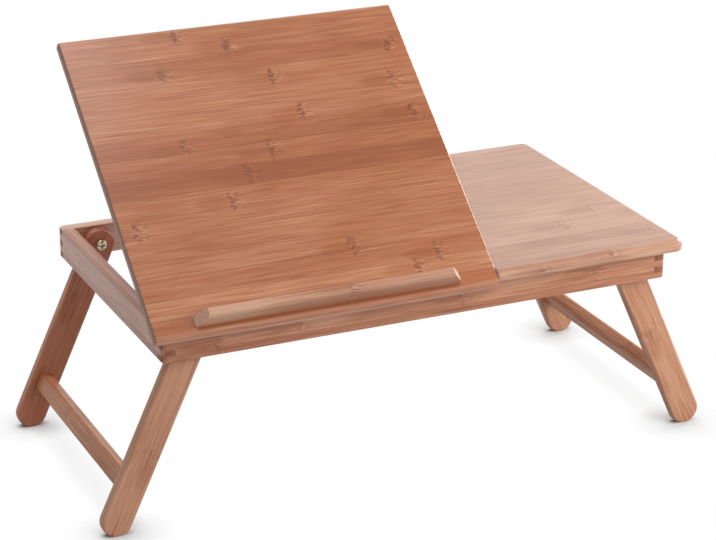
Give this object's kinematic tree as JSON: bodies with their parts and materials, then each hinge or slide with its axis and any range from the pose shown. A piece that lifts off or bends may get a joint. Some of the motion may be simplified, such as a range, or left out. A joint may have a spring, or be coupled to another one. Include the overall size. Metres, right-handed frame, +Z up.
{
  "type": "laptop tray",
  "caption": "Folding bamboo lap tray with a tilting reading panel, a stop bar, a fixed top beside it and splayed legs that fold into the frame.",
  "frame": {"origin": "middle of the bounding box at the floor under the feet, with the panel tilted as pictured", "axes": "+X to the user's right, +Y away from the user, +Z up"},
  "size_m": [0.6988, 0.367, 0.4475],
  "materials": {
    "bamboo_panel": "satin lacquered bamboo strips, grain along X",
    "bamboo_top": "satin lacquered bamboo strips, grain along X",
    "bamboo_frame": "satin lacquered bamboo, grain along each board",
    "bamboo_legs": "satin lacquered bamboo, grain along the leg",
    "bamboo_crossbar": "satin lacquered bamboo, grain along the bar",
    "bamboo_stop": "satin lacquered bamboo, paler",
    "bamboo_inner": "satin lacquered bamboo",
    "hinge_steel": "yellow zinc plated steel",
    "screw_steel": "yellow zinc plated steel",
    "insert_brass": "plain brass",
    "washer_nylon": "natural nylon"
  },
  "bodies": {
    "frame": {"front_apron": "bamboo_frame", "rear_apron": "bamboo_frame", "left_end_board": "bamboo_frame", "right_end_board": "bamboo_frame", "fixed_top": "bamboo_top", "top_dowels": "bamboo_inner", "centre_rail": "bamboo_inner", "rail_dowels": "bamboo_inner", "notched_rack": "bamboo_inner", "rack_screws": "screw_steel", "left_hinge_frame_leaf": "hinge_steel", "right_hinge_frame_leaf": "hinge_steel", "left_hinge_pin": "hinge_steel", "right_hinge_pin": "hinge_steel", "frame_leaf_screws": "screw_steel", "leg_pivot_screws": "screw_steel", "leg_pivot_washers": "washer_nylon", "leg_pivot_inserts": "insert_brass"},
    "panel": {"tilt_panel": "bamboo_panel", "stop_bar": "bamboo_stop", "stop_bar_screws": "screw_steel", "left_hinge_panel_leaf": "hinge_steel", "right_hinge_panel_leaf": "hinge_steel", "panel_leaf_screws": "screw_steel", "prop_hinge_panel_leaf": "hinge_steel", "prop_hinge_pin": "hinge_steel", "prop_panel_screws": "screw_steel"},
    "prop": {"prop_strut": "bamboo_inner", "prop_hinge_strut_leaf": "hinge_steel", "prop_strut_screws": "screw_steel"},
    "left_legs": {"front_left_leg": "bamboo_legs", "rear_left_leg": "bamboo_legs", "left_crossbar": "bamboo_crossbar"},
    "right_legs": {"front_right_leg": "bamboo_legs", "rear_right_leg": "bamboo_legs", "right_crossbar": "bamboo_crossbar"}
  },
  "joints": [
    {"name": "panel_tilt", "type": "hinge", "parent": "frame", "child": "panel", "pos_m": [0, -0.16168, 0.22038], "axis": [1, 0, 0], "range_deg": [-39.5, 6.5]},
    {"name": "prop_fold", "type": "hinge", "parent": "panel", "child": "prop", "pos_m": [0, -0.04654, 0.3153], "axis": [1, 0, 0], "range_deg": [-13, 79]},
    {"name": "left_leg_fold", "type": "hinge", "parent": "frame", "child": "left_legs", "pos_m": [-0.2474, 0.00452, 0.20238], "axis": [0, -1, 0], "range_deg": [0, 114.57]},
    {"name": "right_leg_fold", "type": "hinge", "parent": "frame", "child": "right_legs", "pos_m": [0.2474, 0.00452, 0.20238], "axis": [0, 1, 0], "range_deg": [0, 114.57]}
  ],
  "couplings": [
    {"joint": "prop_fold", "follows": "panel_tilt", "ratio": -2}
  ]
}
